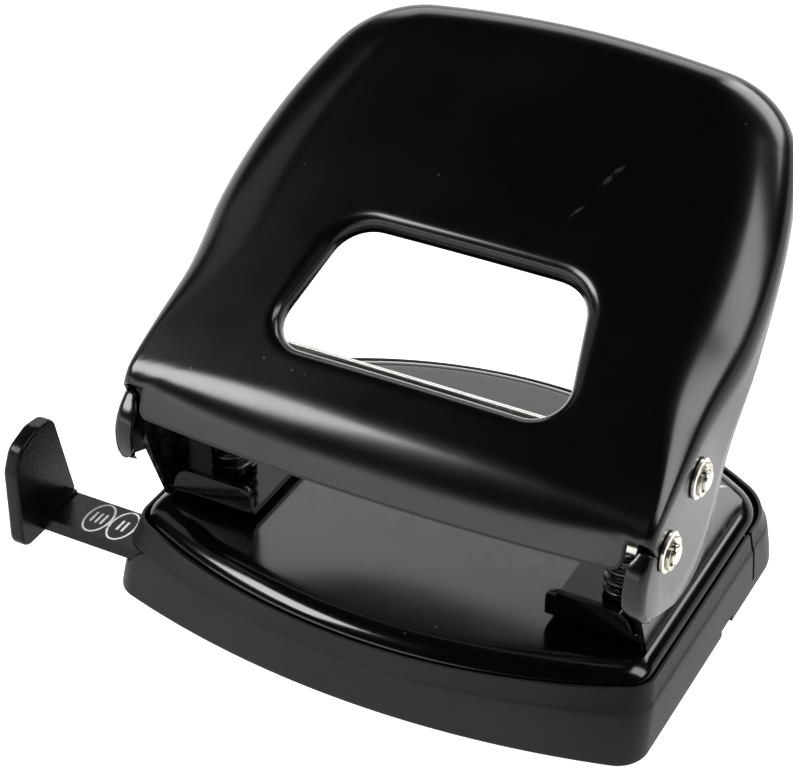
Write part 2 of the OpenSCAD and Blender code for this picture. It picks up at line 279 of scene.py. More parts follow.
def finish_piece(obj, material, body, replaces=(), sharp=38, weighted=True):
    """Applies the modifiers, shades the piece, gives it its material and body, and hides the CAD nodes it
    replaces.
    """
    settle(obj)
    mesh = obj.data
    mesh.polygons.foreach_set("use_smooth", [True] * len(mesh.polygons))
    mesh.set_sharp_from_angle(angle=math.radians(sharp))
    if weighted:
        normals = obj.modifiers.new("normals", "WEIGHTED_NORMAL")
        normals.keep_sharp = True
        normals.weight = 60
    mesh.materials.clear()
    mesh.materials.append(material)
    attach(obj, body)
    if replaces:
        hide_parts(*replaces)
    return obj


# ---- Materials -------------------------------------------------------------


def new_material(name):
    """A new material, its node tree, its shader and the object's own coordinates."""
    material = bpy.data.materials.new(name)
    material.use_nodes = True
    tree = material.node_tree
    shader = tree.nodes["Principled BSDF"]
    coords = tree.nodes.new("ShaderNodeTexCoord").outputs["Object"]
    return material, tree, shader, coords


def noise(tree, coords, scale, detail=4.0, roughness=0.55):
    """Noise whose features are 1/scale metres across."""
    node = tree.nodes.new("ShaderNodeTexNoise")
    node.inputs["Scale"].default_value = scale
    node.inputs["Detail"].default_value = detail
    node.inputs["Roughness"].default_value = roughness
    tree.links.new(coords, node.inputs["Vector"])
    return node.outputs["Fac"]


def stretched(tree, coords, scale):
    """The coordinates, scaled by a different amount along each axis."""
    node = tree.nodes.new("ShaderNodeMapping")
    node.inputs["Scale"].default_value = scale
    tree.links.new(coords, node.inputs["Vector"])
    return node.outputs["Vector"]


def ramp(tree, value, low, high, out_low, out_high):
    """Maps a value from one range to another, and clamps it."""
    node = tree.nodes.new("ShaderNodeMapRange")
    limits = {"From Min": low, "From Max": high, "To Min": out_low, "To Max": out_high}
    for socket, number in limits.items():
        node.inputs[socket].default_value = number
    tree.links.new(value, node.inputs["Value"])
    return node.outputs["Result"]


def mix_colour(tree, share, first, second):
    """A colour between two colours."""
    node = tree.nodes.new("ShaderNodeMix")
    node.data_type = "RGBA"
    node.inputs[6].default_value = (*first, 1)
    node.inputs[7].default_value = (*second, 1)
    tree.links.new(share, node.inputs[0])
    return node.outputs[2]


def add(tree, a, b, operation="ADD"):
    """Two values combined."""
    node = tree.nodes.new("ShaderNodeMath")
    node.operation = operation
    tree.links.new(a, node.inputs[0])
    tree.links.new(b, node.inputs[1])
    return node.outputs[0]


def bump(tree, shader, height, depth, strength):
    """Relief on a surface: a height from 0 to 1 that stands for a depth in millimetres."""
    node = tree.nodes.new("ShaderNodeBump")
    node.inputs["Strength"].default_value = strength
    node.inputs["Distance"].default_value = depth * MM
    tree.links.new(height, node.inputs["Height"])
    tree.links.new(node.outputs["Normal"], shader.inputs["Normal"])


def specks(tree, coords, scale, size):
    """1 on small scattered specks of dust, 0 between them."""
    node = tree.nodes.new("ShaderNodeTexVoronoi")
    node.inputs["Scale"].default_value = scale
    tree.links.new(coords, node.inputs["Vector"])
    near = ramp(tree, node.outputs["Distance"], size * 0.5, size, 1, 0)
    rare = ramp(tree, noise(tree, coords, scale * 0.21, 1.0), 0.6, 0.64, 0, 1)
    return add(tree, near, rare, "MULTIPLY")


def edge_wear(tree, coords):
    """0 on flat surfaces, rising along convex edges, broken up by noise."""
    geometry = tree.nodes.new("ShaderNodeNewGeometry")
    edge = ramp(tree, geometry.outputs["Pointiness"], 0.53, 0.62, 0, 1)
    return add(tree, edge, ramp(tree, noise(tree, coords, 420), 0.4, 0.62, 0, 1), "MULTIPLY")


def enamel(name, gloss, specular):
    """Baked black enamel: faint orange peel, handling marks, a few dust specks, worn edges."""
    material, tree, shader, coords = new_material(name)
    worn = edge_wear(tree, coords)
    dust = specks(tree, coords, 260, 0.09)
    marks = noise(tree, coords, 34, 6.0, 0.62)
    flaws = add(tree, dust, worn, "MAXIMUM")
    colour = mix_colour(tree, flaws, (0.0009, 0.0009, 0.00095), (0.014, 0.014, 0.0145))
    tree.links.new(colour, shader.inputs["Base Color"])
    smear = ramp(tree, marks, 0.38, 0.72, gloss * 0.88, gloss * 1.22)
    rough = add(tree, smear, ramp(tree, flaws, 0, 1, 0, 0.18))
    tree.links.new(rough, shader.inputs["Roughness"])
    shader.inputs["Specular IOR Level"].default_value = specular
    peel = noise(tree, coords, 420, 2.0)
    bump(tree, shader, peel, 0.005, 0.2)
    return material


def moulded(name, dark, light, gloss, grain, specular):
    """Moulded plastic with a fine spark-eroded grain and slight shading across it."""
    material, tree, shader, coords = new_material(name)
    broad = ramp(tree, noise(tree, coords, 42, 5.0), 0.35, 0.7, 0, 1)
    fine = noise(tree, coords, grain, 3.0, 0.7)
    shade = add(tree, broad, ramp(tree, edge_wear(tree, coords), 0, 1, 0, 0.9), "MAXIMUM")
    tree.links.new(mix_colour(tree, shade, dark, light), shader.inputs["Base Color"])
    grainy = ramp(tree, fine, 0.3, 0.7, gloss - 0.05, gloss + 0.06)
    rough = add(tree, grainy, ramp(tree, broad, 0, 1, 0, 0.05))
    tree.links.new(rough, shader.inputs["Roughness"])
    shader.inputs["Specular IOR Level"].default_value = specular
    bump(tree, shader, fine, 0.05, 0.5)
    return material


def plated(name, colour, tint, gloss, brush):
    """Plated or ground steel: brushed along one direction, with a tint that comes and goes."""
    material, tree, shader, coords = new_material(name)
    lines = noise(tree, stretched(tree, coords, brush), 60, 5.0, 0.65)
    patch = ramp(tree, noise(tree, coords, 300, 3.0), 0.42, 0.66, 0, 1)
    tree.links.new(mix_colour(tree, patch, colour, tint), shader.inputs["Base Color"])
    shader.inputs["Metallic"].default_value = 1.0
    rough = ramp(tree, lines, 0.3, 0.7, gloss * 0.7, gloss * 1.35)
    tree.links.new(rough, shader.inputs["Roughness"])
    bump(tree, shader, lines, 0.02, 0.3)
    return material


def printed(name):
    """White pad-printed ink, slightly worn."""
    material, tree, shader, coords = new_material(name)
    worn = ramp(tree, noise(tree, coords, 900, 4.0), 0.56, 0.72, 0, 1)
    ink = mix_colour(tree, worn, (0.86, 0.86, 0.85), (0.45, 0.45, 0.45))
    tree.links.new(ink, shader.inputs["Base Color"])
    tree.links.new(ramp(tree, worn, 0, 1, 0.42, 0.6), shader.inputs["Roughness"])
    bump(tree, shader, worn, 0.01, 0.3)
    return material


HANDLE_ENAMEL = enamel("handle_enamel", gloss=0.2, specular=0.36)
BASE_ENAMEL = enamel("base_enamel", gloss=0.13, specular=0.36)
BRACKET_ENAMEL = enamel("bracket_enamel", gloss=0.12, specular=0.13)
TRAY_PLASTIC = moulded(
    "tray_plastic", (0.0055, 0.0055, 0.0057), (0.01, 0.01, 0.0104), gloss=0.42, grain=1500, specular=0.17)
GUIDE_PLASTIC = moulded(
    "guide_plastic", (0.0011, 0.0011, 0.0012), (0.003, 0.003, 0.0033), gloss=0.24, grain=1300, specular=0.14)
ROD_STEEL = plated("rod_steel", (0.66, 0.65, 0.62), (0.56, 0.54, 0.5), 0.22, (1, 6, 6))
ZINC = plated("zinc", (0.74, 0.72, 0.68), (0.66, 0.61, 0.5), 0.3, (3, 3, 1))
CLIP_STEEL = plated("clip_steel", (0.6, 0.58, 0.53), (0.42, 0.38, 0.29), 0.3, (2, 2, 4))
SPRING_WIRE = plated("spring_wire", (0.09, 0.09, 0.095), (0.05, 0.05, 0.055), 0.28, (6, 6, 1))
PUNCH_STEEL = plated("punch_steel", (0.52, 0.52, 0.53), (0.44, 0.44, 0.45), 0.24, (8, 8, 1))
INK = printed("white_ink")


# ---- Chip tray -------------------------------------------------------------

TRAY_H = TRAY_HIGH.z
TRAY_WALL = 1.5
TRAY_FLOOR = 1.8
GUIDE_Y = (GUIDE_LOW.y + GUIDE_HIGH.y) / 2
GUIDE_W = GUIDE_HIGH.y - GUIDE_LOW.y
HINGE_Y = (HINGE_LOW.y + HINGE_HIGH.y) / 2
HINGE_Z = (HINGE_LOW.z + HINGE_HIGH.z) / 2
LUG_X = (11.0, 13.0)


def tray_ring(z, inset):
    """The tray's outline at a height: its wall leans in and bows out more towards the rim."""
    share = (max(z, 0.0) / TRAY_H) ** 1.25
    half_w = TRAY_HIGH.x - 0.9 * share - inset
    front = (half_w, TRAY_LOW.y + 1.3 * share + inset, 8.2 + 4.6 * share, 6.2 - inset)
    back = (half_w, TRAY_HIGH.y - 1.3 * share - inset, 15 + 2 * share, 13 - inset)
    return plan(front, back, z)


def make_tray():
    """The chip tray: a moulded shell with a slit and a grip each side, hinge lugs and front ribs."""
    foot = [(0, 1.4), (0, 0.3), (0.04, 0.1), (0.16, 0.02), (0.5, 0)]
    wall = [(1.8, 0), (3.2, 0), (4.8, 0), (6.4, 0), (7.8, 0)]
    rim = [(8.6, 0.03), (9.0, 0.12), (9.26, 0.3), (TRAY_H, 0.62), (TRAY_H, 1.1), (9.2, 1.4),
           (8.8, TRAY_WALL)]
    inside = [(5.4, TRAY_WALL), (2.6, TRAY_WALL), (2.0, 1.75), (TRAY_FLOOR, 2.3)]
    profile = foot + wall + rim + inside
    tray = raw_object("chip_tray_shell", loft([tray_ring(z, inset) for z, inset in profile]))
    # X on either side of a side wall, and a height above the rim
    within, beyond, above = 45, 60, 20
    slit_y, slit_w = 31.0, 0.9
    slit = block((within, slit_y, TRAY_FLOOR + 0.4), (beyond, slit_y + slit_w, above))
    grip_depth, grip_y, grip_h = 0.9, (15.7, 21.0), 1.5
    grip = block((TRAY_HIGH.x - grip_depth, grip_y[0], -1), (beyond, grip_y[1], grip_h))
    guide_gap = 0.4
    notch = block(
        (-beyond, GUIDE_LOW.y - guide_gap, GUIDE_LOW.z - guide_gap),
        (-within, GUIDE_HIGH.y + guide_gap, GUIDE_HIGH.z + 0.2),
    )
    for cut in (slit, mirrored(slit), grip, mirrored(grip), notch):
        combine(tray, cut, "DIFFERENCE")
    head_r, chamfer, sunk = 1.9, 0.2, 0.2
    head = [(LUG_X[0], head_r - chamfer), (LUG_X[0] + chamfer, head_r), (LUG_X[1] - chamfer, head_r),
            (LUG_X[1], head_r - chamfer)]
    lug = turned(head, (HINGE_Y, HINGE_Z), 40)
    stem = block((LUG_X[0], HINGE_Y - head_r, TRAY_FLOOR - sunk), (LUG_X[1], HINGE_Y + 0.2, HINGE_Z))
    rib_x, rib_top = (8, 15), 11.4
    rib = block((rib_x[0], BASE_LOW.y + 3.1, TRAY_FLOOR - sunk), (rib_x[1], BASE_LOW.y + 4.3, rib_top))
    for part in (lug, stem, rib):
        combine(tray, part, "UNION")
        combine(tray, mirrored(part), "UNION")
    finish_piece(tray, TRAY_PLASTIC, "tray", ["chip_tray"])


# ---- Base ------------------------------------------------------------------

BASE_T = 1.5
DECK_Z = BASE_HIGH.z
PUNCH_X = (SPRING_LOW.x + SPRING_HIGH.x) / 2
DIE_R = 3.05
BORE_R = 3.1


def base_ring(inset, z):
    """The base's outline, drawn in by an inset."""
    half_w = BASE_HIGH.x - inset
    front = (half_w, BASE_LOW.y + inset, 12.6, 6 - inset / 2)
    back = (half_w, BASE_HIGH.y - inset, 17, 12 - inset / 2)
    return plan(front, back, z)


def shoulder(inset, reach, low, high, steps):
    """Rings of the rolled shoulder, from its upright skirt over to the deck."""
    rings = []
    for k in range(steps + 1):
        turn = math.pi / 2 * k / steps
        z = low + (high - low) * math.sin(turn)
        rings.append(base_ring(inset + reach * (1 - math.cos(turn)), z))
    return rings


def make_base():
    """The pressed base: skirt, rolled shoulder, deck with two die holes, and hinge ears."""
    skirt_z = BASE_LOW.z
    roll_z = 10.9
    reach = 4.8
    inner = shoulder(BASE_T, reach, roll_z, DECK_Z - BASE_T, 8)
    outer = shoulder(0, reach, roll_z, DECK_Z, 16)
    edge = [base_ring(BASE_T, skirt_z + 0.2), base_ring(BASE_T - 0.2, skirt_z), base_ring(0.3, skirt_z),
            base_ring(0.08, skirt_z + 0.1), base_ring(0, skirt_z + 0.35)]
    flat = 1.2
    rings = [base_ring(BASE_T + reach + flat, DECK_Z - BASE_T)] + inner[::-1] + edge
    rings += outer + [base_ring(reach + flat, DECK_Z)]
    base = raw_object("base_pressing", loft(rings))
    for side in (-1, 1):
        hole = circle((side * PUNCH_X, 0), DIE_R)
        combine(base, prism(hole, DECK_Z - 3, DECK_Z + 2, "z"), "DIFFERENCE")
    ear_x, ear_r, web_half = (13.4, 15.6), 1.8, 1.2
    ear = turned([(x, ear_r) for x in ear_x], (HINGE_Y, HINGE_Z), 32)
    web = block((ear_x[0], HINGE_Y - web_half, HINGE_Z),
                (ear_x[1], HINGE_Y + web_half, DECK_Z - BASE_T + 0.2))
    for part in (ear, web):
        combine(base, part, "UNION")
        combine(base, mirrored(part), "UNION")
    finish_piece(base, BASE_ENAMEL, "chassis", ["base_plate"], sharp=50)


# ---- Brackets --------------------------------------------------------------

PLATE_Z = DECK_Z + 1.4
SHEET = 1.2
TAB_TOP = 22.3
TAB_Y = -11.6
TAB_X = (BRACKET_LOW.x, BRACKET_HIGH.x)
PIVOT = ((PIVOT_LOW.y + PIVOT_HIGH.y) / 2, (PIVOT_LOW.z + PIVOT_HIGH.z) / 2)
ROD = ((ROD_LOW.y + ROD_HIGH.y) / 2, (ROD_LOW.z + ROD_HIGH.z) / 2)


def tab_top(x):
    """Height of the front tab's upper edge, which falls away into the side wall."""
    corner = 1.5
    inner = corner - math.sqrt(max(corner ** 2 - max(corner - (x - TAB_X[0]), 0) ** 2, 0))
    fall_from, fall_width, fall = 42.6, 3.4, 4.3
    outer = max(x - fall_from, 0) / fall_width
    if outer >= 1:
        return PLATE_Z + 1.7
    return TAB_TOP - inner - fall * (1 - math.sqrt(1 - outer ** 2))


def sheet_grid(inner_x, outer_x):
    """The bracket's floor as one sheet: rear foot, step, punch plate, front bend and tab."""
    bend = 1.6
    steps = 34
    foot_z = DECK_Z + 0.01
    rows = []
    for k in range(steps + 1):
        x = inner_x + (outer_x - inner_x) * (k / steps) ** 1.3
        path = [(24.5, foot_z), (18, foot_z), (13.1, foot_z), (12.6, DECK_Z + 0.2),
                (12.2, PLATE_Z - 0.25), (11.6, PLATE_Z), (6, PLATE_Z), (0, PLATE_Z), (-6, PLATE_Z)]
        for i in range(9):
            a = math.pi / 2 * i / 8
            path.append((TAB_Y + bend - bend * math.sin(a), PLATE_Z + bend - bend * math.cos(a)))
        low = PLATE_Z + bend
        high = tab_top(x)
        path += [(TAB_Y, low + (high - low) * i / 4) for i in range(1, 5)]
        rows.append([(x, y, z) for y, z in path])
    return loft(rows, closed=False, caps=(False, False))


def make_bracket(name, side):
    """One bracket: side wall with its pivot ear, stepped punch plate, and upturned front tab."""
    x_out = BRACKET_HIGH.x
    sheet = raw_object(name, sheet_grid(TAB_X[0], x_out - 0.3))
    lean = sum(f.normal.z * f.area for f in sheet.data.polygons)
    if lean > 0:
        sheet.data.flip_normals()
    thicken = sheet.modifiers.new("sheet", "SOLIDIFY")
    thicken.thickness = SHEET * MM
    thicken.offset = -1
    thicken.use_even_offset = True
    settle(sheet)
    bore = circle((PUNCH_X, 0), BORE_R)
    combine(sheet, prism(bore, PLATE_Z - 2, PLATE_Z + 4, "z"), "DIFFERENCE")
    ear_r = 4.0
    ear = [(PIVOT[0] + ear_r * math.cos(math.radians(a)), PIVOT[1] + ear_r * math.sin(math.radians(a)))
           for a in range(20, 161, 14)]
    foot_z = PLATE_Z - 1.4
    front = [(-10.7, foot_z), (-16.9, 30.2), (-17.6, 33), (-17.7, 38.2)]
    back = [(-7.4, 38.2), (-5, 35.4), (8, 34.6), (17, 31.5), (24.5, 27), (30, 21.6), (33.2, PLATE_Z + 2),
            (34, foot_z)]
    wall = front + ear[::-1] + back
    upright = raw_object("upright", prism(wall, x_out - SHEET, x_out, "x"))
    both = bmesh.new()
    both.from_mesh(sheet.data)
    both.from_mesh(upright.data)
    both.to_mesh(sheet.data)
    both.free()
    bpy.data.objects.remove(upright)
    if side < 0:
        sheet.data.transform(Matrix.Scale(-1, 4, (1, 0, 0)))
        sheet.data.flip_normals()
    soften(sheet, 0.2, 2, 50)
    node = "bracket_left" if side < 0 else "bracket_right"
    finish_piece(sheet, BRACKET_ENAMEL, "chassis", [node])


# ---- Springs ---------------------------------------------------------------


def make_spring(name, side, body):
    """A wound return spring with closed ends, on a mesh of its own."""
    wire_r = 0.62
    coil_r = SPRING_HIGH.x - PUNCH_X - wire_r
    low, high = SPRING_LOW.z + wire_r, SPRING_HIGH.z - wire_r
    turns = 9.5
    closed = 1.0
    closed_pitch = wire_r * 2.02
    per_turn = 30
    wire_sides = 12
    count = int(turns * per_turn)
    rings = []
    centres = []
    body_rise = high - low - 2 * closed * closed_pitch
    for k in range(count + 1):
        turn = turns * k / count
        rise = min(max((turn - closed) / (turns - 2 * closed), 0), 1)
        lead = closed_pitch * (min(turn, closed) + max(0, turn - turns + closed))
        angle = 2 * math.pi * turn
        centres.append(Vector((side * PUNCH_X + coil_r * math.cos(angle), coil_r * math.sin(angle),
                               low + lead + body_rise * rise)))
    for k, centre in enumerate(centres):
        along = (centres[min(k + 1, count)] - centres[max(k - 1, 0)]).normalized()
        out = Vector((centre.x - side * PUNCH_X, centre.y, 0)).normalized()
        up = along.cross(out).normalized()
        taper = 0.55 if k in (0, count) else 1
        rings.append([
            centre + (out * math.cos(a) + up * math.sin(a)) * wire_r * taper
            for a in (2 * math.pi * i / wire_sides for i in range(wire_sides))
        ])
    spring = raw_object(name, loft(rings))
    node = "spring_left" if side < 0 else "spring_right"
    finish_piece(spring, SPRING_WIRE, body, [node], weighted=False)
    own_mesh(spring)


# ---- Rods, washers and clips -----------------------------------------------

WASHER_T = 0.8
CLIP_T = 0.56
CLIP_R = 3.0
# How far the left clip of a pair is turned from the right one, in degrees
CLIP_TURN = 140


def make_rod(name, at, half_len, body, node):
    """A ground rod with a thinner neck, a clip groove and a rounded tip at each end."""
    radius, neck, chamfer = 2.5, 1.8, 0.15
    step = FRONT_HALF_W - 0.2
    groove = (half_len - 1.35, half_len - 0.7)
    lip, lip_r, groove_r = 0.06, neck - 0.08, neck - 0.5
    shaft = [(0, radius), (step - chamfer, radius), (step, radius - chamfer), (step + 0.01, neck)]
    clip_groove = [(groove[0] - lip, neck), (groove[0], lip_r), (groove[0] + 0.01, groove_r),
                   (groove[1] - 0.01, groove_r), (groove[1], lip_r), (groove[1] + lip, neck)]
    tip = [(half_len - 0.3, neck), (half_len - 0.1, neck - 0.14), (half_len - 0.02, neck - 0.4),
           (half_len - 0.01, neck - 1.2)]
    half = shaft + clip_groove + tip
    profile = [(-x, r) for x, r in reversed(half[1:])] + half
    rod = raw_object(name, turned(profile, at))
    finish_piece(rod, ROD_STEEL, body, [node], sharp=30)


def make_washers(name, at, body, node):
    """The two flat washers on a rod, with turned edges."""
    low, high = box_mm(node)
    outer_r = (high.z - low.z) / 2 - 0.6
    x_out = high.x
    x_in = x_out - WASHER_T
    bore_r = 1.86
    ring = [(x_in, bore_r), (x_in, outer_r - 0.16), (x_in + 0.16, outer_r), (x_out - 0.2, outer_r),
            (x_out - 0.05, outer_r - 0.16), (x_out, outer_r - 0.34), (x_out, bore_r + 0.2),
            (x_out - 0.15, bore_r)]
    right = turned(ring, at)
    # in place of the two flat ends, a band of faces that closes the bore
    faces = right[1][:-2]
    last = (len(ring) - 1) * TURNED_STEPS
    for i in range(TURNED_STEPS):
        j = (i + 1) % TURNED_STEPS
        faces.append((last + i, last + j, j, i))
    right = (right[0], faces)
    washers = raw_object(name, joined(right, mirrored(right)))
    finish_piece(washers, ZINC, body, [node], sharp=30)


def clip_outline(outer_r):
    """An open spring clip seen along its rod: three prongs that grip the groove, and a wide mouth."""
    grip_r = 1.4
    relief_r = 2.15
    mouth = math.radians(40)
    points = []
    for k in range(65):
        a = mouth / 2 + (2 * math.pi - mouth) * k / 64
        points.append((outer_r - 0.25 * smoothstep(math.cos(a) * 2 - 1), a))
    for k in range(97):
        a = 2 * math.pi - mouth / 2 - (2 * math.pi - mouth) * k / 96
        prong = max(math.cos(3 * (a - math.pi)), 0) ** 0.35
        points.append((relief_r + (grip_r - relief_r) * prong, a))
    return [(r * math.cos(a - math.pi / 2), r * math.sin(a - math.pi / 2)) for r, a in points]


def make_clips(name, at, body, node, tilt):
    """The two spring clips on a rod, each turned by its own fixed angle."""
    x_out = box_mm(node)[1].x
    clips = []
    for side, angle in ((1, tilt), (-1, tilt + CLIP_TURN)):
        c, s = math.cos(math.radians(angle)), math.sin(math.radians(angle))
        outline = [(at[0] + y * c - z * s, at[1] + y * s + z * c) for y, z in clip_outline(CLIP_R)]
        shape = prism(outline, x_out - CLIP_T, x_out, "x")
        clips.append(shape if side > 0 else mirrored(shape))
    piece = raw_object(name, joined(*clips))
    soften(piece, 0.12, 2, 60)
    finish_piece(piece, CLIP_STEEL, body, [node])


# ---- Handle ----------------------------------------------------------------

# The handle's own frame: v runs up its slope, and n is the height square to the slope
SLOPE = math.radians(31)
ORIGIN_Y, ORIGIN_Z = -3.0, 51.5
FRONT_V = -17.3
FRONT_HALF_W = 51.2
WIDE_HALF_W, WIDE_V = 52.8, 24.0
REACH = 76.5
SIDE_R, END_R, CORNER_R = 112.0, 250.0, 20.0
# The lip's lower edge at its corners as (v, n), how much its middle is moved, and the lip's slope
LIP_HALF_W = 46.6
LIP_CORNER, LIP_BOW = (-21.7, -1.3), (1.9, 0.7)
LIP_SLOPE = math.radians(35)
# Height of the top sheet's crown, and how far it falls towards the free end and towards the sides
CROWN_H, CROWN_FALL_BACK, CROWN_FALL_SIDE = 5.1, 2.0, 1.9
CROWN_FROM_V, CROWN_SPAN = 10, 67
# The side edges' roll: its radius at the front, what is added by the free end, and its extra width
BEND_FRONT_R, BEND_ADDED_R, BEND_SPREAD = 2.0, 6.0, 6.5
WINDOW_LOW = (29.0, -2.2)
WINDOW_HIGH = (23.4, 24.2)
WINDOW_X = 0.2
WINDOW_ROLL = 2.8
# The side walls' lower edge as (v, n), and how many rows of faces a wall has
WALL_LOW = [(-19.5, -20.5), (-14, -25), (-8.5, -27.2), (-4, -26.9), (0.5, -24.8), (5.1, -20.8), (12, -15.2),
            (19.5, -10.4), (26.5, -7.2), (34, -5.4), (44, -4.4), (58, -3.9), (90, -3.8)]
WALL_ROWS = 5


def on_lever(x, v, n):
    """A point of the handle's own frame in the object's frame."""
    return (x, ORIGIN_Y + v * math.cos(SLOPE) - n * math.sin(SLOPE),
            ORIGIN_Z + v * math.sin(SLOPE) + n * math.cos(SLOPE))


def lip_edge(x):
    """(v, n) of the lip's lower edge, which bows forward in the middle."""
    bow = 1 - min(abs(x) / LIP_HALF_W, 1) ** 2
    return LIP_CORNER[0] - LIP_BOW[0] * bow, LIP_CORNER[1] + LIP_BOW[1] * bow


def top_height(x, v):
    """Height of the top sheet over the plane n = 0: crowned both ways, and bent down into the lip."""
    back = (max(v - CROWN_FROM_V, 0) / CROWN_SPAN) ** 2
    crown = CROWN_H - CROWN_FALL_BACK * back - CROWN_FALL_SIDE * (x / FRONT_HALF_W) ** 2
    edge_v, edge_n = lip_edge(x)
    lip = edge_n + (v - edge_v) * math.tan(LIP_SLOPE)
    blend = 1.3 + 2.2 * (1 - min(abs(x) / LIP_HALF_W, 1) ** 3)
    gap = max(blend - abs(crown - lip), 0)
    return min(crown, lip) - gap * gap / (4 * blend)


def bend_radius(v):
    """Radius of the roll between the top sheet and its side walls."""
    return BEND_FRONT_R + BEND_ADDED_R * smoothstep((v + 16) / 36)


def bend_width(v, sideways):
    """How far the roll reaches in over the top sheet: further along the sides than at the free end."""
    return bend_radius(v) + BEND_SPREAD * abs(sideways) * smoothstep((v + 14) / 34)


def meet(a, ra, b, rb):
    """Where two circles meet, on the right of the way from a to b."""
    a, b = Vector(a), Vector(b)
    d = (b - a).length
    along = (d * d + ra * ra - rb * rb) / (2 * d)
    off = math.sqrt(ra * ra - along * along)
    u = (b - a) / d
    return a + u * along + Vector((u.y, -u.x)) * off


def lever_half():
    """The right half of the handle's plan, from the front notch round to the middle of the free end."""
    side_c = Vector((WIDE_HALF_W - SIDE_R, WIDE_V))
    end_c = Vector((0, REACH - END_R))
    corner = meet(end_c, END_R - CORNER_R, side_c, SIDE_R - CORNER_R)
    a_side = math.atan2(corner.y - side_c.y, corner.x - side_c.x)
    a_end = math.atan2(corner.y - end_c.y, corner.x - end_c.x)
    flat_to = 5.4
    flat_steps, flare_steps = 16, 12
    points = [(FRONT_HALF_W, FRONT_V + (flat_to - FRONT_V) * k / flat_steps) for k in range(flat_steps)]
    for k in range(flare_steps):
        t = k / flare_steps
        half_w = FRONT_HALF_W + (WIDE_HALF_W - FRONT_HALF_W) * smoothstep(t)
        points.append((half_w, flat_to + (WIDE_V - flat_to) * t))

    def arc(c, r, a0, a1, steps):
        angles = [a0 + (a1 - a0) * k / steps for k in range(steps)]
        return [(c.x + r * math.cos(a), c.y + r * math.sin(a)) for a in angles]

    points += arc(side_c, SIDE_R, 0, a_side, 16)
    points += arc(corner, CORNER_R, a_side, a_end, 26)
    points += arc(end_c, END_R, a_end, math.pi / 2, 16)
    return points + [(0.0, REACH)]


def window_outline(grow):
    """The window's outline, grown by a distance on every side."""
    low, high = WINDOW_LOW, WINDOW_HIGH
    low_r, high_r = 6.2 + grow, 7.5 + grow
    lean = math.atan2(high[1] - low[1], high[0] - low[0])
    corners = [(-1, low), (1, low), (1, high), (-1, high)]
    points = []
    for side, (x, v) in corners:
        down = -1 if v == low[1] else 1
        push = (1 - down * math.cos(lean)) / math.sin(lean)
        points.append((WINDOW_X + side * (x + grow * push), v + down * grow))
    return rounded(points, [low_r, low_r, high_r, high_r], 14)


def hit(outline, centre, towards):
    """Where the ray from a centre towards a point leaves a closed outline."""
    d = (Vector(towards) - Vector(centre)).normalized()
    for i, p in enumerate(outline):
        q = outline[(i + 1) % len(outline)]
        e = Vector(q) - Vector(p)
        w = Vector(p) - Vector(centre)
        cross = d.x * e.y - d.y * e.x
        if abs(cross) < 1e-12:
            continue
        t = (w.x * e.y - w.y * e.x) / cross
        s = (w.x * d.y - w.y * d.x) / cross
        if t > 0 and -1e-9 <= s <= 1 + 1e-9:
            return Vector(centre) + d * t
    return Vector(towards)


def lip_front():
    """The top sheet's front edge, from the left notch to the right one, with rounded lip corners."""
    corner = 1.7
    right = [(LIP_HALF_W, FRONT_V)]
    side_v = lip_edge(LIP_HALF_W)[0]
    for k in range(1, 4):
        right.append((LIP_HALF_W, FRONT_V + (side_v + corner - FRONT_V) * k / 3))
    for k in range(1, 7):
        a = math.pi / 2 * k / 6
        x = LIP_HALF_W - corner * (1 - math.cos(a))
        right.append((x, lip_edge(x)[0] + corner * (1 - math.sin(a))))
    steps = 34
    x0 = LIP_HALF_W - corner
    for k in range(1, steps + 1):
        x = x0 * (1 - k / steps)
        right.append((x, lip_edge(x)[0]))
    return [(-x, v) for x, v in right[:-1]] + right[::-1]


def rim_stations(half):
    """(point, outward direction) along the handle's edge, from the right notch round to the left."""
    normals = []
    for i, p in enumerate(half):
        if i == 0:
            normals.append(Vector((1, 0)))
            continue
        a, b = Vector(half[i - 1]), Vector(half[min(i + 1, len(half) - 1)])
        t = (b - a).normalized()
        normals.append(Vector((t.y, -t.x)))
    normals[-1] = Vector((0, 1))
    stations = [(Vector(p), n) for p, n in zip(half, normals)]
    left = [(Vector((-p.x, p.y)), Vector((-n.x, n.y))) for p, n in reversed(stations[:-1])]
    return stations + left


